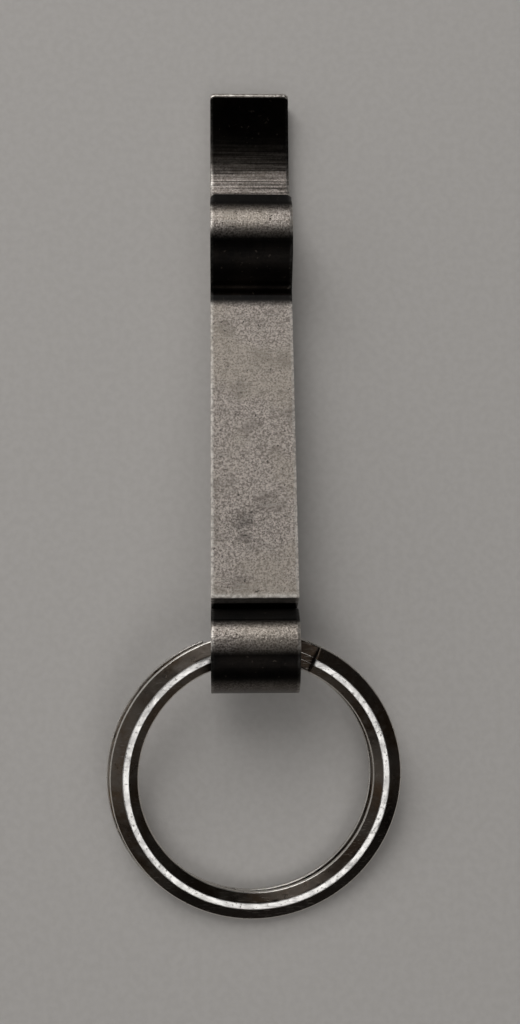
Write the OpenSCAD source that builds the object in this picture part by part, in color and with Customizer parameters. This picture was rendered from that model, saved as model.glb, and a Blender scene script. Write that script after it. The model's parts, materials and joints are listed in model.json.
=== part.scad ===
// Keychain bottle opener: a short length of extruded metal profile with a split ring.
// Frame: X across the opener, +Y toward the jaw's tip, +Z up, standing on its flat base.

/* [Handle] */
// Width of the body, which is the length cut from the profile
body_w = 9; // [7.5:0.25:9.5]
// Height of the handle face's sharp corner at the ring end
handle_h = 11.7; // [11.4:0.1:12]
// Angle at which the handle face falls toward the jaw
handle_fall = 9.6; // [9:0.1:10]

/* [Tooth] */
// Radius of the tooth's round back
tooth_r = 6; // [5.6:0.1:6.4]
// Height of the tooth's crest
tooth_h = 9.42; // [9.3:0.02:9.6]
// Distance from the handle's corner to the tooth's crest
tooth_run = 40.5; // [40:0.1:41]
// Angle at which the tooth's flank falls to the nose
flank_fall = 36; // [34:0.5:38]
// Distance from the tooth's crest forward to the middle of the nose
nose_run = 4.4; // [4.2:0.05:4.6]
// Radius of the nose
nose_r = 0.32; // [0.28:0.02:0.4]
// Radius of the hollow between the handle face and the tooth
tooth_fillet_r = 1.2; // [0.8:0.1:1.6]

/* [Jaw] */
// Distance from the handle's corner to the arm's tip
tip_run = 59.5; // [58.5:0.1:61]
// Radius of the long hollow along the arm's upper face
arm_r = 62; // [56:1:70]
// Radius of the arm's tip along its upper edge
tip_top_r = 0.45; // [0.3:0.05:0.6]
// Radius of the arm's tip along its lower edge
tip_low_r = 1; // [0.6:0.1:1.2]
// Height of the jaw's floor at its lowest
floor_h = 2.65; // [2.4:0.05:2.8]
// Distance from the handle's corner to the floor's lowest line
floor_run = 50.5; // [50:0.1:51]
// Radius of the rise from the floor to the gullet
ramp_r = 9; // [8:0.5:10]
// Steepest angle of that rise
ramp_rise = 20; // [18:0.5:22]
// Radius of the gullet under the nose
gullet_r = 1.6; // [1.5:0.05:1.8]

/* [Eye] */
// Outer radius of the eye
eye_r = 4.35; // [4.3:0.05:4.5]
// Radius of the eye's bore
bore_r = 2.6; // [2.55:0.05:2.7]
// Distance from the handle's end face back to the eye's axis
eye_back = 4.6; // [4.5:0.05:4.8]
// Depth of the eye's axis below the handle face
eye_drop = 3.85; // [3.7:0.05:3.95]
// Depth of the notch between the handle and the eye
notch_d = 4.15; // [4:0.05:4.3]
// Radius of the cove under the eye
cove_r = 2; // [1.8:0.1:2.2]
// Distance from the handle's corner back to the base's end
base_back = 0.3; // [0:0.1:0.6]
// Radius of the base's end corner
base_r = 1.2; // [0.8:0.1:1.5]

/* [Ring] */
// Outer diameter of the split ring
ring_d = 30.4; // [30:0.1:30.8]
// Radial width of the wire
wire_w = 3; // [2.9:0.05:3.1]
// Thickness of one coil
coil_t = 1.2; // [1.1:0.05:1.25]
// Height of a coil's upright edges, before its bevels
lip_h = 0.4; // [0.3:0.05:0.5]
// Width of the outer bevel
outer_bevel = 1.4; // [1.2:0.05:1.45]
// Width of the inner bevel
inner_bevel = 1; // [0.9:0.05:1.1]
// Angle over which the wire steps from one coil to the other
step_arc = 46; // [44:1:50]
// Angle from the eye to the upper coil's cut end
cut_turn = 26; // [24:1:28]
// Lean of the resting ring, from the eye down to the surface
ring_lean = 15; // [14.6:0.1:15.2]
// Roll of the resting ring, left side up
ring_roll = 3; // [2:0.25:4]
// Distance that each coil lies off the ring's centre, the upper one to the right
coil_off = 0.17; // [0:0.01:0.2]
// Angle from the eye round to the side that the upper coil lies toward
coil_off_turn = 105; // [80:5:120]

/* [Hidden] */

// Largest angle and largest length of one facet along a round stretch of the outline
facet_angle = 5;
facet_length = 1;
// Angle between two sections of the ring
ring_step = 4;
// Half the gap between the two coils
coil_gap = 0.03;
// Distance under which two points of the outline are one
same = 0.001;
// Distance from the bore's axis to the ring's centre
ring_reach = ring_d / 2 - wire_w + 1.1;

// Outline coordinates are [y, z], first from the handle's corner, then in the part's frame.
// A point given along the handle face, toward the jaw, and out of it
function on_handle(along, out) = [
    along * cos(handle_fall) + out * sin(handle_fall),
    handle_h - along * sin(handle_fall) + out * cos(handle_fall)
];

function polar(centre, radius, angle) = centre + radius * [cos(angle), sin(angle)];

function arc(centre, radius, start, finish) =
    let (
        sweep = abs(finish - start),
        steps = ceil(max(sweep / facet_angle, sweep * PI / 180 * radius / facet_length))
    )
    [for (i = [0:steps]) polar(centre, radius, start + (finish - start) * i / steps)];

// The outline without the points that two stretches share
function distinct(points) =
    let (last = len(points) - 1)
    [for (i = [0:last]) if (norm(points[i] - points[i < last ? i + 1 : 0]) > same) points[i]];

// Eye and the cove under it
eye = on_handle(-eye_back, -eye_drop);
base_y = -base_back;
cove_y = base_y - cove_r;
cove_z = eye.y - sqrt(pow(eye_r + cove_r, 2) - pow(cove_y - eye.x, 2));
cove_start = atan2(eye.y - cove_z, eye.x - cove_y);
notch_turn = -asin((notch_d - eye_drop) / eye_r) - handle_fall;

// Jaw: the arm's upper face is one long hollow arc from the tip to the floor
arm = [floor_run, floor_h + arm_r];
tip_rise = asin((tip_run - tip_top_r - floor_run) / (arm_r + tip_top_r));
tip = polar(arm, arm_r + tip_top_r, 270 + tip_rise);

// Tooth
tooth = [tooth_run, tooth_h - tooth_r];
nose_y = tooth_run + nose_run;
nose_lift = (tooth_r - nose_r - nose_run * sin(flank_fall)) / cos(flank_fall);
nose = [nose_y, tooth.y + nose_lift];
tooth_out = (tooth - on_handle(0, 0)) * [sin(handle_fall), cos(handle_fall)];
tooth_along = (tooth - on_handle(0, 0)) * [cos(handle_fall), -sin(handle_fall)];
fillet_back = sqrt(pow(tooth_r + tooth_fillet_r, 2) - pow(tooth_out - tooth_fillet_r, 2));
fillet = on_handle(tooth_along - fillet_back, tooth_fillet_r);
fillet_turn = atan2(fillet.y - tooth.y, fillet.x - tooth.x);

// Gullet: a round hollow that ends at the underside of the nose
nose_foot = nose - [0, nose_r];
ramp = [floor_run, floor_h + ramp_r];
ramp_end = polar(ramp, ramp_r, 270 - ramp_rise);
ramp_dir = [-cos(ramp_rise), sin(ramp_rise)];
ramp_out = [sin(ramp_rise), cos(ramp_rise)];
foot_out = (nose_foot - ramp_end) * ramp_out - gullet_r;
foot_along = (nose_foot - ramp_end) * ramp_dir;
gullet = ramp_end + gullet_r * ramp_out + (foot_along - sqrt(pow(gullet_r, 2) - pow(foot_out, 2))) * ramp_dir;
gullet_finish = atan2(nose_foot.y - gullet.y, nose_foot.x - gullet.x);

// Ring: its lowest point just meets the surface that the base stands on
facet_out = ring_d / 2 - outer_bevel;
facet_in = ring_d / 2 - wire_w + inner_bevel;
facet_fall = facet_out * sqrt(pow(sin(ring_lean), 2) + pow(sin(ring_roll) * cos(ring_lean), 2));
coil_fall = coil_t * cos(ring_roll) * cos(ring_lean);
ring_sag = (eye.y - ring_reach * sin(ring_lean) - facet_fall - coil_fall) / cos(ring_lean);
ring_end_y = eye.x - (ring_reach + ring_d / 2) * cos(ring_lean) + (ring_sag - lip_h) * sin(ring_lean);

// The part's origin lies under the middle of its length
shift_y = -(tip_run + ring_end_y) / 2;

// A height of the wire's section, which swaps side as the wire steps down
function swap(upper, lower, step) = upper * (1 - step) - lower * step;

// The wire's section at one turn, as [radius, height] pairs; step is 0 in the upper coil, 1 in the lower
function wire_section(step) =
    let (
        low_lip = swap(coil_gap, lip_h, step),
        high_lip = swap(lip_h, coil_gap, step),
        low_face = swap(coil_gap, coil_t, step),
        high_face = swap(coil_t, coil_gap, step),
        outer = ring_d / 2,
        inner = ring_d / 2 - wire_w
    )
    [
        [facet_out, low_face],
        [outer, low_lip],
        [outer, high_lip],
        [facet_out, high_face],
        [facet_in, high_face],
        [inner, high_lip],
        [inner, low_lip],
        [facet_in, low_face]
    ];

function smooth(t) = let (c = min(1, max(0, t))) c * c * (3 - 2 * c);

module profile() {
    outline = concat(
        [on_handle(0, 0), on_handle(0, -notch_d)],
        arc(eye, eye_r, notch_turn, cove_start + 180),
        arc([cove_y, cove_z], cove_r, cove_start, 0),
        arc([base_y + base_r, base_r], base_r, 180, 270),
        arc([tip_run - tip_low_r, tip_low_r], tip_low_r, -90, 0),
        arc(tip, tip_top_r, 0, 90 + tip_rise),
        arc(arm, arm_r, 270 + tip_rise, 270),
        arc(ramp, ramp_r, 270, 270 - ramp_rise),
        arc(gullet, gullet_r, 270 - ramp_rise, gullet_finish),
        arc(nose, nose_r, -90, 90 - flank_fall),
        arc(tooth, tooth_r, 90 - flank_fall, fillet_turn),
        arc(fillet, tooth_fillet_r, fillet_turn + 180, 270 - handle_fall)
    );
    difference() {
        polygon(distinct(outline));
        translate(eye) circle(bore_r, $fn = 96);
    }
}

// The whole metal body: handle, tooth, arm and eye in one extrusion
module opener_body() {
    color([0.42, 0.39, 0.36])
        translate([0, shift_y, 0])
        rotate([90, 0, 90])
        linear_extrude(body_w, center = true)
        profile();
}

// One bevelled wire in two coils, with its step inside the eye
module split_wire() {
    full_arc = 360 - step_arc;
    turn = 2 * full_arc + step_arc;
    count = ceil(turn / ring_step);
    sides = 8;
    rings = [
        for (i = [0:count])
            let (angle = turn * i / count, around = cut_turn + angle)
            [
                let (step = smooth((angle - full_arc) / step_arc), off = swap(coil_off, coil_off, step))
                    for (p = wire_section(step))
                        [
                            p.x * sin(around) + off * sin(coil_off_turn),
                            p.x * cos(around) + off * cos(coil_off_turn),
                            p.y
                        ]
            ]
    ];
    points = [for (section = rings, p = section) p];
    walls = [
        for (i = [0:count - 1], k = [0:sides - 1])
            let (a = i * sides, b = a + sides, next = (k + 1) % sides)
            each [[a + k, b + next, a + next], [a + k, b + k, b + next]]
    ];
    caps = [
        [for (k = [0:sides - 1]) k],
        [for (k = [0:sides - 1]) (count + 1) * sides - 1 - k]
    ];
    polyhedron(points, concat(walls, caps));
}

// The split ring, threaded through the eye and resting on the surface
module split_ring() {
    color([0.62, 0.61, 0.6])
        translate([0, eye.x + shift_y, eye.y])
        rotate([ring_lean, 0, 0])
        translate([0, -ring_reach, -ring_sag])
        rotate([0, ring_roll, 0])
        split_wire();
}

opener_body();
split_ring();
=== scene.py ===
import json
import math

import bmesh
import bpy
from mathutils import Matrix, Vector, noise


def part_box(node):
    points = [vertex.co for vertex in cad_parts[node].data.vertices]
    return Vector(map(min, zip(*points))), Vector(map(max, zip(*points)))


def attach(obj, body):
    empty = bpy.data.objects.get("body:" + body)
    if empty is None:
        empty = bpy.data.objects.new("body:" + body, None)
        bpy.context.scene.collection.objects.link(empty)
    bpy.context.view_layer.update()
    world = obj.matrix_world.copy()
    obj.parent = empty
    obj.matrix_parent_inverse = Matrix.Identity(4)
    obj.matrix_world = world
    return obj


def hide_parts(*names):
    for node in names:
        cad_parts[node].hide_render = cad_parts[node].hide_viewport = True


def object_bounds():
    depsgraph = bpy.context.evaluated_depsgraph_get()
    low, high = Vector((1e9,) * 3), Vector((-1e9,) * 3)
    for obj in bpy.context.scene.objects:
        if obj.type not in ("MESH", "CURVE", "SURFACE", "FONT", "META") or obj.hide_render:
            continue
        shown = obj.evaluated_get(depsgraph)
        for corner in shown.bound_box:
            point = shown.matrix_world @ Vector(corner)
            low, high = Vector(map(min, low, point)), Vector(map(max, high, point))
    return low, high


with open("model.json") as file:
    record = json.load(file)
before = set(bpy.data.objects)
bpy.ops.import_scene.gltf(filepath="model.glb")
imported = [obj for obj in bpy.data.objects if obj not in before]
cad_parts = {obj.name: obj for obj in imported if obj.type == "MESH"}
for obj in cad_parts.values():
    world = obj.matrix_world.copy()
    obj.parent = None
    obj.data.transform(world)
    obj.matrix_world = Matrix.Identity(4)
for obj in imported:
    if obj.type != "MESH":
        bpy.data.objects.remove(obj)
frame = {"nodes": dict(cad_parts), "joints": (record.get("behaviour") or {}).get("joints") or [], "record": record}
cad_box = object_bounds()

# Lengths below are millimetres times MM, so that they read as they are measured.
MM = 0.001

BODY_NODE = "opener_body"
RING_NODE = "split_ring"
MOUNTS = {mount["name"]: mount for mount in frame["record"]["mounts"]}
EYE = Vector(frame["joints"][0]["pos_m"])
HANDLE = MOUNTS["handle_face"]

# The resting ring's centre and its own three axes: out of its upper face, toward the eye, and across
RING_CENTRE = Vector(MOUNTS["key_loop"]["pos_m"])
RING_OUT = Vector(MOUNTS["key_loop"]["axis"]).normalized()
RING_TOWARD = RING_OUT.cross(Vector((1, 0, 0))).normalized()
RING_ACROSS = RING_TOWARD.cross(RING_OUT)

# Body: how finely its outline is followed and its width is cut
WELD = 0.002 * MM
OUTLINE_STEP = 0.2 * MM
STRAIGHT_RUN = 1.3 * MM
SHARP_TURN = math.radians(20)
BODY_CORNER_STEPS = 6
EDGE_STEPS = 5
WIDTH_STEPS = 36

# Which of the body's materials its sawn sides take
SAWN_MATERIAL = 1

# Body: how its corners and side edges are worn
CORNER_WEAR = 0.22 * MM
CORNER_CLEAR = 1.2 * CORNER_WEAR
EDGE_WEAR = 0.11 * MM
EDGE_WEAR_MOST = 0.4 * MM

# Waves that vary the side edges and the burr: (share, size, seed). The two sides' waves lie apart.
EDGE_WAVES = ((0.35, 1.1 * MM, 0.0), (0.25, 0.35 * MM, 5.0))
EDGE_WAVES_APART = 7 * MM
BURR_WAVES = ((0.6, 1.3 * MM, 8.0), (0.4, 0.4 * MM, 7.0))
BURR_MEAN = 0.5

# Nicks in the handle's edges: side, distance from the handle's middle, length, depth
NICKS = (
    (-1, 12.6 * MM, 0.9 * MM, 0.29 * MM),
    (-1, -4.4 * MM, 1.8 * MM, 0.2 * MM),
    (1, -12.2 * MM, 1.0 * MM, 0.16 * MM),
    (1, 3.5 * MM, 0.6 * MM, 0.1 * MM),
    (1, 9.8 * MM, 1.1 * MM, 0.08 * MM),
)

# Corners rounded as seen from above: distance back from the tip, height, reach, radius
PLAN_CORNERS = (
    (0.0 * MM, 3.0 * MM, 2.2 * MM, 0.5 * MM),
    (14.6 * MM, 7.2 * MM, 2.0 * MM, 0.6 * MM),
)

# Dents all over the body but for a margin at its sides: broad waves, and small knocks that are rarer
DENT_DEPTH = 0.02 * MM
DENT_WAVE = 4.5 * MM
DENT_MARGIN = 1.0 * MM
KNOCK_WAVE = 0.9 * MM
KNOCK_RARITY = 0.35
KNOCK_DEPTH = 1.6

# Handle face: from its middle to its sharp end by the eye, from that end to the tooth's hollow, how far
# out of its plane and past its end a point still counts, and where the tooth's painted shadow starts on it
HANDLE_REACH = 16.5 * MM
HANDLE_RUN = 34.5 * MM
HANDLE_SKIN = 0.25 * MM
HANDLE_SLACK = 0.2 * MM
HANDLE_TOOTH_SHADOW = (17.5 * MM, 16.3 * MM)

# Burr along the handle's sharp end, and the distances from that end between which it grows
BURR_REACH = 0.12 * MM
BURR_FADE = (0.39 * MM, 0.09 * MM)

# Dark patch on the handle face: how far across and along it lies, how wide, how mottled and how dark it is
STAIN_ACROSS = -0.6 * MM
STAIN_ALONG = -9.0 * MM
STAIN_REACH = 3.4 * MM
STAIN_WAVE = 0.9 * MM
STAIN_MOTTLE = (0.6, 0.9)
STAIN_DEPTH = 0.6

# Places on the body: how far they reach, from where, and which way they face
EYE_ZONE = 4.5 * MM
EYE_TILT = 100
NOTCH_ZONE = 2.2 * MM
TIP_ZONE = 0.6 * MM
TOOTH_FROM_EYE = 40 * MM
ARM_FROM_EYE = 50 * MM
CREST_HEIGHT = 6.5 * MM
ARM_HEIGHT = 2 * MM
BASE_HEIGHT = 0.5 * MM
ARM_FACING = 0.5
BASE_FACING = -0.9

# Tilts toward the tip, in degrees, between which the patina gives way to bare metal: painted highlight bands
# on the eye, tooth and tip, and a painted reflection of the floor under the eye
EYE_HIGHLIGHT_BAND = (-10, 8, 26, 42)
UNDER_EYE_REFLECTION = (-42, -62)
TOOTH_HIGHLIGHT_BAND = (-13, 7, 16, 33)
TIP_HIGHLIGHT_TILTS = (60, 40)

# Distances back from the tip between which the arm's patina gives way to bare metal: painted light growing toward
# the tip
ARM_LIGHT_FADE = (4 * MM, 11.8 * MM)

# How far the patina gives way to bare metal at most in each place (the tip's least and most), and how matte
# it is there: wear on the handle and base, painted highlight on the eye, tooth, tip and arm, painted light in the
# notch's shade
BARE_AND_HIGHLIGHT = {"eye": 0.95, "under_eye": 0.2, "tooth": 0.95, "arm": 0.7, "base": 0.8, "notch": 0.3}
TIP_BARE_AND_HIGHLIGHT = (0.35, 0.95)
MATTE = {"handle": 1.0, "notch": 0.9, "base": 0.7, "crest": 0.25, "hollow": 0.0}

# Distances between which the rubbed edges, partly real wear and partly painted highlight, fade in: from the body's
# sides, the tip and the handle's end
SIDE_RUBBED_HIGHLIGHT = (0.3 * MM, 0.06 * MM)
TIP_RUBBED_HIGHLIGHT = (-TIP_ZONE, -0.4 * MM)
END_RUBBED_HIGHLIGHT = (0.48 * MM, 0.18 * MM)

# Split ring, in millimetres and degrees: its wire's section, its step and its first cut end
WIRE_W = 3.0
COIL_T = 1.2
LIP_H = 0.4
OUTER_BEVEL = 1.4
INNER_BEVEL = 1.0
COIL_GAP = 0.03
STEP_ARC = 46
CUT_TURN = 26

# How far each coil lies off the ring's centre, and the angle from the eye round to the upper coil's side
COIL_OFF = 0.17
COIL_OFF_TURN = 105

# Split ring, in millimetres and degrees: how its wire's corners are worn, how finely it is cut, and how
# far off a flat or a bevel a point still counts as its own
FACET_WEAR = 0.05
LIP_WEAR = 0.14
FACET_CORNERS = (0, 3, 4, 7)
WIRE_CORNER_STEPS = 3
CORNER_EASE = 0.03
SIDE_STEP = 0.2
TURN_STEP = 1.2
FLAT_SLACK = 0.02
BEVEL_SLACK = 0.05

# Dents all over the wire and nicks in its corners: depths in millimetres, and waves
WIRE_DENT = 0.012
WIRE_WAVE = 1.4 * MM
WIRE_NICK = 0.03
WIRE_NICK_WAVE = 0.3 * MM
WIRE_NICK_RARITY = 0.1

# Cut ends of the wire: (turn from the end, share of the section kept), and the turn from which all is kept
CUT_ROUND = ((0.0, 0.92), (0.08, 0.97))
CUT_WHOLE = 0.3

# Where painted shade darkens the wire: round the side away from the eye, and about the step beside the cut end
SHADE_ACROSS = 0.35
SHADE_TOWARD = -0.94
SHADE_FADE = (0.3, 0.65)
SHADE_INSIDE = 0.6
STEP_SHADE_AT = 345
STEP_SHADE_FADE = (32.5, 7.5)

# Soft lights: name, azimuth, elevation, distance, width, height, radiance, whether metal mirrors it.
# A window beyond the object, a dim panel to its left, one over its near side, the key and the ceiling.
LIGHTS = (
    ("far_window", 112, 41, 0.5, 0.34, 0.22, 2.4, True),
    ("left_panel", 180, 27, 0.5, 0.75, 0.3, 0.42, True),
    ("near_panel", -77.5, 53, 0.42, 0.2, 0.2, 1.4, True),
    ("overhead", 118, 62, 0.6, 0.24, 0.24, 2.9, False),
    ("ceiling", 90, 88, 2.5, 4.5, 4.5, 0.26, False),
)
SKY_COLOUR = (1.0, 0.99, 0.97, 1.0)
SKY_STRENGTH = 0.05

# Half the floor's width
FLOOR_REACH = 1.5

# Colours, as linear red, green and blue. A pair is blended from the first to the second.
ALLOY_GRAIN = ((0.35, 0.3, 0.265), (0.72, 0.645, 0.585))
ALLOY_SPECKLE = (0.24, 0.205, 0.175)
ALLOY_MOTTLE = (0.25, 0.215, 0.185)
ALLOY_STAIN = (0.5, 0.44, 0.36)
# Near black: the hollows' patina together with painted shade there
ALLOY_PATINA_AND_SHADE = ((0.003, 0.0025, 0.0022), (0.008, 0.0062, 0.005))
ALLOY_PIT = (0.04, 0.033, 0.027)
# Rubbed edges: partly real wear, partly a painted highlight along the corners
ALLOY_RUBBED_HIGHLIGHT = (0.97, 0.92, 0.85)
ALLOY_SCRATCH = (0.66, 0.62, 0.56)
SAWN_LINES = ((0.22, 0.2, 0.18), (0.4, 0.37, 0.335))
SAWN_STAIN = (0.12, 0.1, 0.08)
# Bevels much darker than the facets: partly tarnish, partly painted shade for the dark they mirror
NICKEL_BEVEL_AND_SHADE = ((0.13, 0.11, 0.092), (0.095, 0.065, 0.043))
NICKEL_SMEAR = (0.19, 0.17, 0.15)
NICKEL_GROUND = ((0.95, 0.925, 0.89), (0.3, 0.27, 0.24))
# Painted shade on the side away from the eye and about the step
NICKEL_PAINTED_SHADE = (0.012, 0.009, 0.007)
# Painted shade on the faces where the two coils touch
NICKEL_CONTACT_SHADE = (0.025, 0.018, 0.013)
# Worn corners: partly real rubbing, partly a painted highlight
NICKEL_RUBBED_HIGHLIGHT = (0.9, 0.86, 0.8)
NICKEL_SCRATCH = (0.3, 0.27, 0.24)
FLOOR_GRAIN = ((0.53, 0.505, 0.48), (0.56, 0.535, 0.51))

# Camera
CAMERA_AT = (-3.74 * MM, -27.79 * MM, 142.72 * MM)
CAMERA_TURN = (10.03, -1.79, -0.5)
CAMERA_LENS = 45.7


def smooth(t):
    """A soft step from 0 to 1."""
    t = min(1.0, max(0.0, t))
    return t * t * (3 - 2 * t)


def fade(value, start, end):
    """A soft step from 0 where the value is start to 1 where it is end."""
    return smooth((value - start) / (end - start))


def band(value, edges):
    """1 between the two middle edges, fading to 0 at the outer two."""
    return fade(value, edges[0], edges[1]) * fade(value, edges[3], edges[2])


def ripple(point, size, seed=0.0):
    """Smooth noise from -1 to 1 whose waves are about size across."""
    return noise.noise(point / size + Vector((seed, seed * 0.7, seed * 1.3)))


def waves(point, parts):
    """Smooth noise of several sizes added together."""
    return sum(share * ripple(point, size, seed) for share, size, seed in parts)


def rounded(back, corner, ahead, t):
    """The point at share t of the round curve from back to ahead, past the corner."""
    return back * (1 - t) ** 2 + corner * (2 * t * (1 - t)) + ahead * t * t


# ---------------------------------------------------------------- body shape


def side_outlines(node):
    """The closed loops round the node's +X side face as lists of (y, z), the outer one first."""
    mesh = bmesh.new()
    mesh.from_mesh(node.data)
    bmesh.ops.remove_doubles(mesh, verts=mesh.verts, dist=WELD)
    side_x = max(vert.co.x for vert in mesh.verts)
    side = [face for face in mesh.faces if all(vert.co.x > side_x - WELD for vert in face.verts)]
    inside = set(side)
    ahead = {}
    for face in side:
        for corner in face.loops:
            if corner.link_loop_radial_next.face not in inside:
                ahead[corner.vert] = corner.link_loop_next.vert
    loops = []
    while ahead:
        start, vert = ahead.popitem()
        loop = [start]
        while vert is not start:
            loop.append(vert)
            vert = ahead.pop(vert)
        loops.append([Vector((vert.co.y, vert.co.z)) for vert in loop])
    mesh.free()
    return sorted(loops, key=lambda loop: max(p.x for p in loop) - min(p.x for p in loop), reverse=True)


def curve_point(start, end, start_way, end_way, t):
    """The point at share t of the smooth curve between two points of an outline."""
    length = (end - start).length
    square = t * t
    cube = square * t
    return (
        start * (2 * cube - 3 * square + 1)
        + end * (3 * square - 2 * cube)
        + start_way * (length * (cube - 2 * square + t))
        + end_way * (length * (cube - square))
    )


def fine_outline(points):
    """An outline resampled finely, as (point, is it a sharp corner): long runs straight, arcs smooth."""
    count = len(points)
    chords = [points[(i + 1) % count] - points[i] for i in range(count)]
    ways = [chord.normalized() for chord in chords]
    sharp = [abs(ways[i - 1].angle_signed(ways[i])) > SHARP_TURN for i in range(count)]
    samples = []
    for i in range(count):
        following = (i + 1) % count
        straight = chords[i].length > STRAIGHT_RUN
        start_way = ways[i] if straight or sharp[i] else (ways[i - 1] + ways[i]).normalized()
        end_way = ways[i] if straight or sharp[following] else (ways[i] + ways[following]).normalized()
        pieces = max(1, round(chords[i].length / OUTLINE_STEP))
        for k in range(pieces):
            point = curve_point(points[i], points[following], start_way, end_way, k / pieces)
            samples.append((point, sharp[i] and k == 0))
    return samples


def worn_outline(samples):
    """The resampled outline with each sharp corner worn round."""
    corners = [point for point, sharp in samples if sharp]
    outline = []
    for i, (point, sharp) in enumerate(samples):
        if sharp:
            back = point + (samples[i - 1][0] - point).normalized() * CORNER_WEAR
            ahead = point + (samples[(i + 1) % len(samples)][0] - point).normalized() * CORNER_WEAR
            for k in range(BODY_CORNER_STEPS + 1):
                outline.append(rounded(back, point, ahead, k / BODY_CORNER_STEPS))
        elif all((point - corner).length > CORNER_CLEAR for corner in corners):
            outline.append(point)
    return outline


def outward(outline, i):
    """The unit normal of an outline at point i, out of the metal."""
    way = outline[(i + 1) % len(outline)] - outline[i - 1]
    return Vector((way.y, -way.x)).normalized()


def tilt_toward_tip(normal):
    """How far the surface is tilted, in degrees: 0 facing up and 90 facing the tip."""
    return math.degrees(math.atan2(normal.x, normal.y))


def along_handle(y, z):
    """A point's distance from the middle of the handle face, along it toward the tooth."""
    middle, axis = HANDLE["pos_m"], HANDLE["axis"]
    return (y - middle[1]) * axis[2] - (z - middle[2]) * axis[1]


def above_handle(y, z):
    """A point's distance out of the plane of the handle face."""
    middle, axis = HANDLE["pos_m"], HANDLE["axis"]
    return (y - middle[1]) * axis[1] + (z - middle[2]) * axis[2]


def from_handle_end(y, z):
    """A point's distance from the sharp corner at the handle's end, by the eye."""
    return math.hypot(along_handle(y, z) + HANDLE_REACH, above_handle(y, z))


def on_handle(y, z):
    """Whether a point lies on the handle's flat face."""
    from_end = along_handle(y, z) + HANDLE_REACH
    return abs(above_handle(y, z)) < HANDLE_SKIN and -HANDLE_SLACK < from_end < HANDLE_RUN


def on_base(z, normal):
    """Whether a point lies on the flat base."""
    return normal.y < BASE_FACING and z < BASE_HEIGHT


def edge_radius(point, side):
    """How round the side's edge is worn at one point of the outline."""
    radius = EDGE_WEAR * (1 + waves(Vector((side * EDGE_WAVES_APART, point.x, point.y)), EDGE_WAVES))
    if on_handle(point.x, point.y):
        for nick_side, middle, length, depth in NICKS:
            if nick_side == side:
                off = abs(along_handle(point.x, point.y) - middle) / (length / 2)
                radius += depth * smooth(1 - off)
    return min(radius, EDGE_WEAR_MOST)


def drawn_back(x, y, z, half, tip_y):
    """How far a point is drawn back toward the handle where the tip and the nose are round from above."""
    pull = 0.0
    for back, height, reach, radius in PLAN_CORNERS:
        near = smooth(1 - math.hypot(y - tip_y + back, z - height) / reach)
        over = min(radius, max(0.0, abs(x) - half + radius))
        pull += near * (radius - math.sqrt(radius * radius - over * over))
    return pull


def dent(spot):
    """How deep the metal's surface is worn in at one spot: broad waves, small knocks."""
    broad = 0.5 + 0.5 * ripple(spot, DENT_WAVE, seed=2.0)
    knock = max(0.0, ripple(spot, KNOCK_WAVE, seed=9.0) - KNOCK_RARITY)
    return DENT_DEPTH * (broad + KNOCK_DEPTH * knock)


def burr(x, y, z):
    """How far the saw's burr at the handle's end stands out toward the eye."""
    ragged = max(0.0, BURR_MEAN + waves(Vector((x, 0, 0)), BURR_WAVES))
    return BURR_REACH * fade(from_handle_end(y, z), *BURR_FADE) * ragged


def bare_and_highlight_share(y, z, normal, tip_y):
    """How far the dark patina gives way to bare metal: 1 on the handle, 0 in the hollows. Bands set by tilt paint
    highlights on the eye, tooth and tip, and the hollows' near black is partly painted shade.
    """
    tilt = tilt_toward_tip(normal)
    if on_handle(y, z):
        # The dark patina's start by the tooth is a painted shadow of the tooth
        return fade(along_handle(y, z), *HANDLE_TOOTH_SHADOW)
    if y > tip_y - TIP_ZONE:
        # Painted highlight on the tip's upper corner, set by its tilt
        return TIP_BARE_AND_HIGHLIGHT[0] + (TIP_BARE_AND_HIGHLIGHT[1] - TIP_BARE_AND_HIGHLIGHT[0]) * fade(tilt, *TIP_HIGHLIGHT_TILTS)
    if math.hypot(y - EYE.y, z - EYE.z) < EYE_ZONE and abs(tilt) < EYE_TILT:
        # Painted highlight band on the eye, and a painted reflection of the floor under it
        return max(BARE_AND_HIGHLIGHT["eye"] * band(tilt, EYE_HIGHLIGHT_BAND), BARE_AND_HIGHLIGHT["under_eye"] * fade(tilt, *UNDER_EYE_REFLECTION))
    if z > CREST_HEIGHT and y > EYE.y + TOOTH_FROM_EYE and normal.y > 0:
        # Painted highlight band on the tooth's crest
        return BARE_AND_HIGHLIGHT["tooth"] * band(tilt, TOOTH_HIGHLIGHT_BAND)
    if z > ARM_HEIGHT and y > EYE.y + ARM_FROM_EYE and normal.y > ARM_FACING:
        # Painted light that grows toward the arm's tip
        back = (tip_y - y - ARM_LIGHT_FADE[0]) / (ARM_LIGHT_FADE[1] - ARM_LIGHT_FADE[0])
        return BARE_AND_HIGHLIGHT["arm"] * min(1.0, max(0.0, back)) ** 3
    if on_base(z, normal):
        return BARE_AND_HIGHLIGHT["base"]
    return BARE_AND_HIGHLIGHT["notch"] if from_handle_end(y, z) < NOTCH_ZONE else 0.0


def matte_share(y, z, normal):
    """How far the surface is roughened by tumbling: 1 on the handle's face, 0 in the hollows."""
    if on_handle(y, z):
        return MATTE["handle"]
    if from_handle_end(y, z) < NOTCH_ZONE:
        return MATTE["notch"]
    if on_base(z, normal):
        return MATTE["base"]
    return MATTE["crest"] if z > CREST_HEIGHT else MATTE["hollow"]


def rim_highlight_share(y, z, normal, tip_y):
    """How brightly the tip's upper corner and the handle's end corner are rubbed: partly real wear, partly a
    painted highlight.
    """
    tip = fade(y - tip_y, *TIP_RUBBED_HIGHLIGHT) * fade(tilt_toward_tip(normal), *TIP_HIGHLIGHT_TILTS)
    return max(tip, fade(from_handle_end(y, z), *END_RUBBED_HIGHLIGHT))


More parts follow.
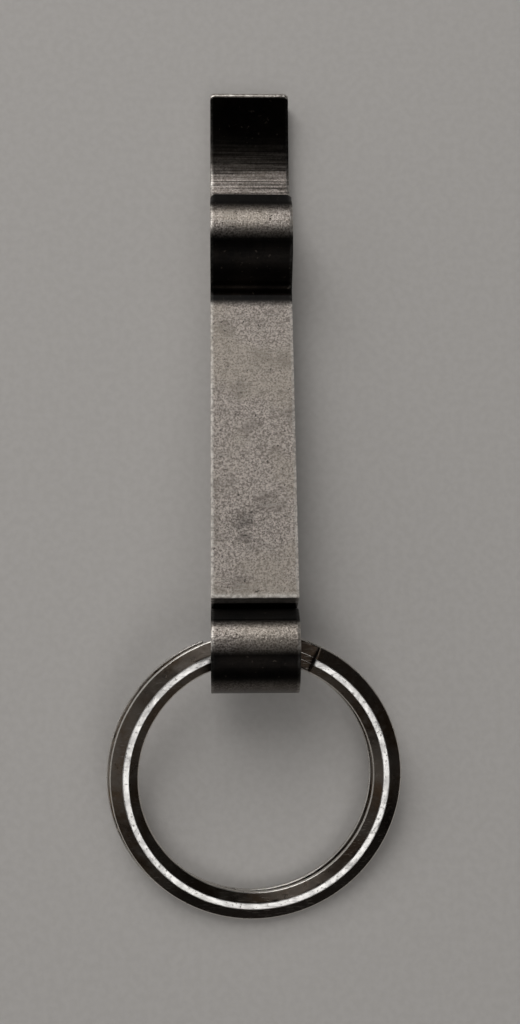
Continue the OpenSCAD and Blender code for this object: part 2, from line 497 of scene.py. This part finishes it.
def stain_share(x, y, z):
    """How dark the mottled patch is on the lower half of the handle's face."""
    if not on_handle(y, z):
        return 0.0
    away = math.hypot(x - STAIN_ACROSS, along_handle(y, z) - STAIN_ALONG)
    mottled = smooth(STAIN_MOTTLE[0] + STAIN_MOTTLE[1] * ripple(Vector((x, y, z)), STAIN_WAVE, seed=6.0))
    return STAIN_DEPTH * smooth(1 - away / STAIN_REACH) * mottled


def across(half):
    """Where the body's width is cut: (side, angle round the edge, x). Side 0 is between the two edges."""
    turns = [math.pi / 2 * (EDGE_STEPS - k) / EDGE_STEPS for k in range(EDGE_STEPS)]
    inner = half - EDGE_WEAR_MOST
    middle = [(0, 0.0, inner * (2 * k / WIDTH_STEPS - 1)) for k in range(WIDTH_STEPS + 1)]
    return [(-1, turn, 0.0) for turn in turns] + middle + [(1, turn, 0.0) for turn in reversed(turns)]


def sweep_row(mesh, point, normal, half, tip_y):
    """One row of vertices across the body's width at a point of an outline."""
    layers = mesh.verts.layers.float
    bare_and_highlight = bare_and_highlight_share(point.x, point.y, normal, tip_y)
    matte = matte_share(point.x, point.y, normal)
    rim_highlight = rim_highlight_share(point.x, point.y, normal, tip_y)
    radii = {side: edge_radius(point, side) for side in (-1, 1)}
    row = []
    for side, turn, x in across(half):
        if side:
            inset = radii[side] * (1 - math.cos(turn))
            x = side * (half - radii[side] * (1 - math.sin(turn)))
        else:
            inset = dent(Vector((x, point.x, point.y))) * smooth((half - abs(x)) / DENT_MARGIN)
        y = point.x - normal.x * inset
        z = point.y - normal.y * inset
        y -= drawn_back(x, y, z, half, tip_y) + burr(x, y, z)
        vert = mesh.verts.new((x, y, z))
        vert[layers["bare_and_highlight"]] = bare_and_highlight * (1 - stain_share(x, point.x, point.y))
        vert[layers["matte"]] = matte
        vert[layers["edge"]] = max(rim_highlight, fade(half - abs(x), *SIDE_RUBBED_HIGHLIGHT))
        row.append(vert)
    return row


def sweep_wall(mesh, outline, half, tip_y):
    """Sweeps one outline across the body's width, and returns its rows of vertices."""
    rows = [sweep_row(mesh, point, outward(outline, i), half, tip_y) for i, point in enumerate(outline)]
    for i, row in enumerate(rows):
        before = rows[i - 1]
        for j in range(len(row) - 1):
            mesh.faces.new((before[j], row[j], row[j + 1], before[j + 1])).smooth = True
    return rows


def cap_side(mesh, walls, column):
    """Closes one side of the body between its outline and its bore with a flat sawn face."""
    edges = []
    for rows in walls:
        for i, row in enumerate(rows):
            edges.append(mesh.edges.get((rows[i - 1][column], row[column])))
    made = bmesh.ops.triangle_fill(mesh, edges=edges, use_beauty=True)
    for face in made["geom"]:
        if isinstance(face, bmesh.types.BMFace):
            face.material_index = SAWN_MATERIAL
            face.smooth = False


def new_mesh(shares):
    """An empty mesh that can carry each named share at its vertices."""
    mesh = bmesh.new()
    for name in shares:
        mesh.verts.layers.float.new(name)
    return mesh


def finish_mesh(name, mesh, materials):
    """Turns a finished mesh into an object in the scene, with its materials."""
    bmesh.ops.recalc_face_normals(mesh, faces=mesh.faces)
    data = bpy.data.meshes.new(name)
    mesh.to_mesh(data)
    mesh.free()
    for material in materials:
        data.materials.append(material)
    piece = bpy.data.objects.new(name, data)
    bpy.context.scene.collection.objects.link(piece)
    return piece


def make_body():
    """The extruded body: its outline and bore swept across the width, with worn edges and sawn sides."""
    low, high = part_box(BODY_NODE)
    mesh = new_mesh(("bare_and_highlight", "matte", "edge"))
    walls = []
    for loop in side_outlines(frame["nodes"][BODY_NODE]):
        walls.append(sweep_wall(mesh, worn_outline(fine_outline(loop)), high.x, high.y))
    cap_side(mesh, walls, 0)
    cap_side(mesh, walls, -1)
    for vert in mesh.verts:
        for axis in range(3):
            vert.co[axis] = min(high[axis], max(low[axis], vert.co[axis]))
    body = finish_mesh("bottle_opener_body", mesh, [tumbled_alloy(), sawn_alloy()])
    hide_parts(BODY_NODE)
    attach(body, "opener")


# ---------------------------------------------------------------- ring shape


def swapped(upper, lower, step):
    """A height of the wire's section, which changes side as the wire steps down."""
    return upper * (1 - step) - lower * step


def wire_corners(step, outer):
    """The wire's section as (radius, height) corners. Step is 0 in the upper coil and 1 in the lower."""
    inner = outer - WIRE_W
    facet_out = outer - OUTER_BEVEL
    facet_in = inner + INNER_BEVEL
    low_lip = swapped(COIL_GAP, LIP_H, step)
    high_lip = swapped(LIP_H, COIL_GAP, step)
    low_face = swapped(COIL_GAP, COIL_T, step)
    high_face = swapped(COIL_T, COIL_GAP, step)
    return [
        Vector((facet_out, low_face)),
        Vector((outer, low_lip)),
        Vector((outer, high_lip)),
        Vector((facet_out, high_face)),
        Vector((facet_in, high_face)),
        Vector((inner, high_lip)),
        Vector((inner, low_lip)),
        Vector((facet_in, low_face)),
    ]


def wire_section(step, outer):
    """The section with worn corners, as (point, edge share)."""
    corners = wire_corners(step, outer)
    plain = wire_corners(0, outer)
    count = len(corners)
    wears = [FACET_WEAR if i in FACET_CORNERS else LIP_WEAR for i in range(count)]
    points = []
    for i, corner in enumerate(corners):
        following = (i + 1) % count
        back = corner + (corners[i - 1] - corner).normalized() * wears[i]
        ahead = corner + (corners[following] - corner).normalized() * wears[i]
        for k in range(WIRE_CORNER_STEPS + 1):
            points.append((rounded(back, corner, ahead, k / WIRE_CORNER_STEPS), 1.0))
        run = (plain[following] - plain[i]).length
        start = (wears[i] + CORNER_EASE) / run
        end = 1 - (wears[following] + CORNER_EASE) / run
        pieces = max(1, round((end - start) * run / SIDE_STEP))
        for k in range(pieces + 1):
            share = start + (end - start) * k / pieces
            points.append((corner.lerp(corners[following], share), 0.0))
    return points


def ring_radius():
    """The outer radius of each coil in millimetres, from the ring's CAD node."""
    reach = 0.0
    for vert in frame["nodes"][RING_NODE].data.vertices:
        arm = vert.co - RING_CENTRE
        reach = max(reach, (arm - RING_OUT * arm.dot(RING_OUT)).length)
    return reach / MM - COIL_OFF


def ring_turns():
    """The turns at which the wire is cut, as (angle from its first end, share of the section kept)."""
    full = 2 * (360 - STEP_ARC) + STEP_ARC
    whole = full - 2 * CUT_WHOLE
    count = math.ceil(whole / TURN_STEP)
    middle = [(CUT_WHOLE + whole * i / count, 1.0) for i in range(count + 1)]
    return list(CUT_ROUND) + middle + [(full - turn, kept) for turn, kept in reversed(CUT_ROUND)]


def way_round(angle):
    """The way out from the ring's centre, at an angle in radians from the eye's side."""
    return RING_ACROSS * math.sin(angle) + RING_TOWARD * math.cos(angle)


def wire_dent(spot, edge):
    """How deep the wire is worn in at one spot, in millimetres: broad waves, and nicks in its edges."""
    broad = WIRE_DENT * (0.5 + 0.5 * ripple(spot, WIRE_WAVE, seed=3.0))
    return broad + edge * WIRE_NICK * max(0.0, ripple(spot, WIRE_NICK_WAVE, seed=4.0) - WIRE_NICK_RARITY)


def wire_row(mesh, turn, kept, outer):
    """One closed row of vertices round the wire at one turn along it."""
    layers = mesh.verts.layers.float
    step = fade(turn, 360 - STEP_ARC, 360)
    section = wire_section(step, outer)
    middle = sum((point for point, edge in section), Vector((0, 0))) / len(section)
    around = math.radians(CUT_TURN + turn)
    way = way_round(around)
    centre = RING_CENTRE + way_round(math.radians(COIL_OFF_TURN)) * (swapped(COIL_OFF, COIL_OFF, step) * MM)
    # Painted shade on the side away from the eye and about the step beside the cut end
    shade_side = fade(SHADE_ACROSS * math.sin(around) + SHADE_TOWARD * math.cos(around), *SHADE_FADE)
    step_shade = fade(abs(turn - STEP_SHADE_AT), *STEP_SHADE_FADE)
    facet_in = outer - WIRE_W + INNER_BEVEL
    facet_out = outer - OUTER_BEVEL
    row = []
    for point, edge in section:
        inside = point.x <= facet_out + BEVEL_SLACK
        place = middle + (point - middle) * kept
        spot = centre + (way * place.x + RING_OUT * place.y) * MM
        place += (middle - place).normalized() * wire_dent(spot, edge)
        vert = mesh.verts.new(centre + (way * place.x + RING_OUT * place.y) * MM)
        flat = facet_in - FLAT_SLACK < point.x < facet_out + FLAT_SLACK
        ground = abs(abs(point.y) - COIL_T) < FLAT_SLACK
        vert[layers["facet"]] = 1.0 if ground else 0.0
        vert[layers["contact"]] = 1.0 if flat and not ground else 0.0
        vert[layers["painted_shade"]] = max(step_shade, SHADE_INSIDE * shade_side if inside else shade_side)
        vert[layers["edge"]] = edge
        row.append(vert)
    return row


def make_ring():
    """The split ring: one bevelled wire wound in two coils, with worn corners and cut ends."""
    outer = ring_radius()
    mesh = new_mesh(("facet", "contact", "painted_shade", "edge"))
    rows = [wire_row(mesh, turn, kept, outer) for turn, kept in ring_turns()]
    for before, row in zip(rows, rows[1:]):
        for k in range(len(row)):
            mesh.faces.new((before[k - 1], row[k - 1], row[k], before[k])).smooth = True
    for end in (rows[0], rows[-1]):
        mesh.faces.new(end)
    piece = finish_mesh("key_split_ring", mesh, [worn_nickel()])
    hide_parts(RING_NODE)
    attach(piece, "ring")


# ---------------------------------------------------------------- materials


def feed(tree, sockets, values):
    """Sets each socket to its value, or links it where the value is another node's output."""
    for socket, value in zip(sockets, values):
        if isinstance(value, bpy.types.NodeSocket):
            tree.links.new(value, socket)
        else:
            socket.default_value = value


def put(tree, kind, inputs, **settings):
    """Adds a node with its settings and its named inputs."""
    node = tree.nodes.new(kind)
    for name, value in settings.items():
        setattr(node, name, value)
    feed(tree, [node.inputs[name] for name in inputs], inputs.values())
    return node


def new_material(name):
    """A material with its node tree."""
    material = bpy.data.materials.new(name)
    material.use_nodes = True
    return material, material.node_tree


def finish_material(tree, inputs):
    """Gives the material's shader its named inputs."""
    shader = tree.nodes["Principled BSDF"]
    feed(tree, [shader.inputs[name] for name in inputs], inputs.values())


def place_on(tree, stretch=(1, 1, 1), turn=(0, 0, 0)):
    """The object's own coordinates in millimetres, turned and stretched."""
    coordinates = put(tree, "ShaderNodeTexCoord", {})
    mapping = put(
        tree,
        "ShaderNodeMapping",
        {
            "Vector": coordinates.outputs["Object"],
            "Rotation": [math.radians(angle) for angle in turn],
            "Scale": [share / MM for share in stretch],
        },
    )
    return mapping.outputs["Vector"]


def clouds(tree, where, size, detail=3.0, roughness=0.5):
    """Noise whose patches are about size millimetres across."""
    inputs = {"Vector": where, "Scale": 1 / size, "Detail": detail, "Roughness": roughness}
    return put(tree, "ShaderNodeTexNoise", inputs).outputs["Fac"]


def span(tree, value, low, high, start=0.0, end=1.0):
    """The value taken smoothly from low..high to start..end."""
    inputs = {"Value": value, "From Min": low, "From Max": high, "To Min": start, "To Max": end}
    return put(tree, "ShaderNodeMapRange", inputs, interpolation_type="SMOOTHSTEP").outputs["Result"]


def maths(tree, operation, first, second):
    """One operation on two values."""
    node = put(tree, "ShaderNodeMath", {}, operation=operation)
    feed(tree, node.inputs, (first, second))
    return node.outputs["Value"]


def times(tree, first, second):
    """The product of two values."""
    return maths(tree, "MULTIPLY", first, second)


def blend(tree, share, first, second):
    """The first colour where share is 0, the second where it is 1."""
    node = put(tree, "ShaderNodeMix", {"Factor": share}, data_type="RGBA")
    colours = [(*colour, 1.0) if isinstance(colour, tuple) else colour for colour in (first, second)]
    feed(tree, node.inputs[6:8], colours)
    return node.outputs[2]


def attribute(tree, name):
    """A share that the mesh carries at each vertex."""
    return put(tree, "ShaderNodeAttribute", {}, attribute_name=name).outputs["Fac"]


def bumps(tree, heights):
    """A surface normal from (height, depth in millimetres) pairs."""
    normal = None
    for height, depth in heights:
        inputs = {"Height": height, "Distance": depth * MM, "Strength": 1.0}
        if normal:
            inputs["Normal"] = normal
        normal = put(tree, "ShaderNodeBump", inputs).outputs["Normal"]
    return normal


def scratches(tree, angle, spacing, length, rarity):
    """Fine straight scratches at one angle across the surface seen from above."""
    where = place_on(tree, (spacing / length, 1, 0.2), (0, 0, angle))
    lines = clouds(tree, where, spacing, 2.0)
    gaps = clouds(tree, place_on(tree), 3.0, 2.0)
    return times(tree, span(tree, lines, rarity, rarity + 0.05), span(tree, gaps, 0.45, 0.6))


def bare_alloy(tree, grain, speckle, mottle):
    """The alloy's colour where no patina is left: grainy, speckled, mottled and stained."""
    stain = clouds(tree, place_on(tree), 8.0, 3.0)
    grey = blend(tree, span(tree, grain, 0.34, 0.66), *ALLOY_GRAIN)
    grey = blend(tree, span(tree, speckle, 0.5, 0.64, 0.0, 0.6), grey, ALLOY_SPECKLE)
    grey = blend(tree, span(tree, mottle, 0.5, 0.68, 0.0, 0.55), grey, ALLOY_MOTTLE)
    return blend(tree, span(tree, stain, 0.45, 0.62, 0.0, 0.4), grey, ALLOY_STAIN)


def uneven_wear_and_highlight(tree, bare_and_highlight, grain, die_lines, matte):
    """How far the patina is off, painted highlight bands included: speckled where the metal is matte, in die lines
    where it is smooth.
    """
    smoothed = span(tree, matte, 0.0, 0.2, 1.0, 0.0)
    grainy = times(tree, bare_and_highlight, span(tree, grain, 0.3, 0.6, 0.75, 1.1))
    lined = times(tree, bare_and_highlight, span(tree, die_lines, 0.38, 0.62, 0.35, 1.5))
    return maths(tree, "ADD", grainy, times(tree, maths(tree, "SUBTRACT", lined, grainy), smoothed))


def alloy_relief(tree, bare_and_highlight, grain, speckle, die_lines, pits, lines):
    """The alloy's surface normal: grain and speckle where it is bare, die lines, pits and scratches."""
    heights = (
        (times(tree, grain, span(tree, bare_and_highlight, 0.0, 1.0, 0.1, 1.0)), 0.03),
        (times(tree, speckle, bare_and_highlight), 0.03),
        (die_lines, 0.006),
        (times(tree, times(tree, pits, bare_and_highlight), -1.0), 0.015),
        (times(tree, times(tree, lines, bare_and_highlight), -1.0), 0.004),
    )
    return bumps(tree, heights)


def tumbled_alloy():
    """Tumbled grey alloy: grainy on the handle, glossier on the eye and tooth with painted highlights, near black
    in the hollows from patina and painted shade.
    """
    material, tree = new_material("tumbled_alloy")
    bare_and_highlight = attribute(tree, "bare_and_highlight")
    matte = attribute(tree, "matte")
    edge = attribute(tree, "edge")
    grain = clouds(tree, place_on(tree), 0.2, 2.0, 0.6)
    speckle = clouds(tree, place_on(tree), 0.42, 3.0, 0.6)
    mottle = clouds(tree, place_on(tree), 3.0, 4.0, 0.6)
    die_lines = clouds(tree, place_on(tree, (0.02, 1, 1)), 0.3, 3.0, 0.6)
    pits = span(tree, clouds(tree, place_on(tree), 0.45, 2.0), 0.67, 0.73)
    long_lines = scratches(tree, 14, 0.12, 3.0, 0.64)
    short_lines = scratches(tree, -52, 0.1, 2.2, 0.66)
    lines = maths(tree, "MAXIMUM", long_lines, short_lines)

    # Near-black patina, partly painted shade in the hollows, worn off in bands that are partly painted highlight
    patina_and_shade = blend(tree, span(tree, mottle, 0.35, 0.7), *ALLOY_PATINA_AND_SHADE)
    wear_and_highlight = uneven_wear_and_highlight(tree, bare_and_highlight, grain, die_lines, matte)
    colour = blend(tree, wear_and_highlight, patina_and_shade, bare_alloy(tree, grain, speckle, mottle))
    colour = blend(tree, times(tree, pits, 0.8), colour, ALLOY_PIT)
    # Painted highlight, partly real rubbing, along the edges and rims
    rubbed_highlight = times(tree, edge, span(tree, speckle, 0.35, 0.6, 1.0, 0.35))
    rubbed_highlight = times(tree, rubbed_highlight, span(tree, bare_and_highlight, 0.0, 0.6, 0.05, 0.9))
    colour = blend(tree, rubbed_highlight, colour, ALLOY_RUBBED_HIGHLIGHT)
    colour = blend(tree, times(tree, times(tree, lines, 0.55), bare_and_highlight), colour, ALLOY_SCRATCH)

    rough_grain = span(tree, grain, 0.3, 0.7, 0.0, 0.12)
    finish_material(
        tree,
        {
            "Base Color": colour,
            "Metallic": span(tree, matte, 0.0, 1.0, 1.0, 0.5),
            "Roughness": maths(tree, "ADD", span(tree, matte, 0.0, 1.0, 0.28, 0.5), rough_grain),
            "Normal": alloy_relief(tree, bare_and_highlight, grain, speckle, die_lines, pits, lines),
        },
    )
    return material


def sawn_alloy():
    """The body's sawn sides: fine saw lines, tumbled over, with darker stains."""
    material, tree = new_material("sawn_alloy")
    saw = clouds(tree, place_on(tree, (1, 1, 0.03), (8, 0, 0)), 0.16, 3.0, 0.6)
    grain = clouds(tree, place_on(tree), 0.25, 3.0)
    stain = clouds(tree, place_on(tree), 3.2, 4.0, 0.6)
    colour = blend(tree, span(tree, saw, 0.35, 0.65), *SAWN_LINES)
    colour = blend(tree, span(tree, stain, 0.5, 0.72, 0.0, 0.5), colour, SAWN_STAIN)
    finish_material(
        tree,
        {
            "Base Color": colour,
            "Metallic": 0.75,
            "Roughness": span(tree, grain, 0.3, 0.7, 0.38, 0.56),
            "Normal": bumps(tree, ((saw, 0.02), (grain, 0.02))),
        },
    )
    return material


def worn_nickel():
    """Nickel on spring steel: bright ground facets, darker bevels, scratches and brown specks; the bevels are
    partly painted shade, the side away from the eye, the step and the touching faces carry painted shade, and the
    worn corners a painted highlight.
    """
    material, tree = new_material("worn_nickel")
    facet = attribute(tree, "facet")
    contact = attribute(tree, "contact")
    shade_share = attribute(tree, "painted_shade")
    edge = attribute(tree, "edge")
    patches = clouds(tree, place_on(tree), 3.4, 4.0, 0.6)
    speck = span(tree, clouds(tree, place_on(tree), 0.3, 3.0, 0.65), 0.6, 0.68)
    smear = clouds(tree, place_on(tree), 0.9, 3.0, 0.6)
    lines = scratches(tree, 35, 0.1, 1.4, 0.6)

    # Bevel colour, partly tarnish and partly painted shade
    bevel_and_shade = blend(tree, span(tree, patches, 0.4, 0.66), *NICKEL_BEVEL_AND_SHADE)
    bevel_and_shade = blend(tree, span(tree, smear, 0.5, 0.75, 0.0, 0.5), bevel_and_shade, NICKEL_SMEAR)
    # Painted shade on the side away from the eye and about the step
    bevel_and_shade = blend(tree, times(tree, shade_share, 0.9), bevel_and_shade, NICKEL_PAINTED_SHADE)
    ground = blend(tree, times(tree, speck, 0.6), *NICKEL_GROUND)
    colour = blend(tree, facet, bevel_and_shade, ground)
    # Painted shade where the coils touch
    colour = blend(tree, times(tree, contact, 0.9), colour, NICKEL_CONTACT_SHADE)
    corners = maths(tree, "SUBTRACT", maths(tree, "SUBTRACT", edge, facet), contact)
    # Painted highlight, partly real rubbing, on the worn corners
    colour = blend(tree, times(tree, span(tree, corners, 0.2, 1.0), 0.9), colour, NICKEL_RUBBED_HIGHLIGHT)
    colour = blend(tree, times(tree, lines, 0.35), colour, NICKEL_SCRATCH)

    rough_smear = span(tree, smear, 0.35, 0.7, 0.0, 0.12)
    heights = ((smear, 0.012), (times(tree, speck, -1.0), 0.008), (lines, -0.004))
    finish_material(
        tree,
        {
            "Base Color": colour,
            "Metallic": 1.0,
            "Roughness": maths(tree, "ADD", span(tree, facet, 0.0, 1.0, 0.27, 0.3), rough_smear),
            "Normal": bumps(tree, heights),
        },
    )
    return material


def pale_floor():
    """A plain pale floor with a faint grain."""
    material, tree = new_material("pale_floor")
    grain = clouds(tree, place_on(tree), 0.8, 3.0)
    colour = blend(tree, span(tree, grain, 0.3, 0.7), *FLOOR_GRAIN)
    finish_material(tree, {"Base Color": colour, "Roughness": 0.9, "Normal": bumps(tree, ((grain, 0.03),))})
    return material


# ---------------------------------------------------------------- studio


def make_floor():
    """The surface that the opener lies on."""
    low = cad_box[0]
    mesh = bmesh.new()
    bmesh.ops.create_grid(mesh, x_segments=2, y_segments=2, size=FLOOR_REACH)
    bmesh.ops.translate(mesh, verts=mesh.verts, vec=(0, 0, low[2] - WELD))
    floor = finish_mesh("floor", mesh, [pale_floor()])


def soft_light(name, azimuth, elevation, distance, width, height, radiance, mirrored):
    """An area light that looks at the object from one direction, as bright as radiance says."""
    light = bpy.data.lights.new(name, "AREA")
    light.shape = "RECTANGLE"
    light.size = width
    light.size_y = height
    light.energy = radiance * math.pi * width * height
    azimuth = math.radians(azimuth)
    elevation = math.radians(elevation)
    level = math.cos(elevation)
    way = Vector((level * math.cos(azimuth), level * math.sin(azimuth), math.sin(elevation)))
    lamp = bpy.data.objects.new(name, light)
    lamp.rotation_euler = way.to_track_quat("Z", "Y").to_euler()
    lamp.location = way * distance
    lamp.visible_glossy = mirrored
    bpy.context.scene.collection.objects.link(lamp)


def make_studio():
    """The lights, a dim sky and a plain view of their colours."""
    for light in LIGHTS:
        soft_light(*light)
    world = bpy.data.worlds.new("studio")
    world.use_nodes = True
    sky = world.node_tree.nodes["Background"]
    sky.inputs["Color"].default_value = SKY_COLOUR
    sky.inputs["Strength"].default_value = SKY_STRENGTH
    bpy.context.scene.world = world
    bpy.context.scene.view_settings.view_transform = "Standard"


def make_camera():
    """A camera nearly overhead, close to the object."""
    data = bpy.data.cameras.new("camera")
    data.lens = CAMERA_LENS
    data.clip_start = MM
    camera = bpy.data.objects.new("camera", data)
    camera.location = CAMERA_AT
    camera.rotation_euler = [math.radians(angle) for angle in CAMERA_TURN]
    bpy.context.scene.collection.objects.link(camera)
    bpy.context.scene.camera = camera


def write_sizes():
    """Updates the view layer."""
    bpy.context.view_layer.update()


make_camera()
make_body()
make_ring()
make_floor()
make_studio()
write_sizes()
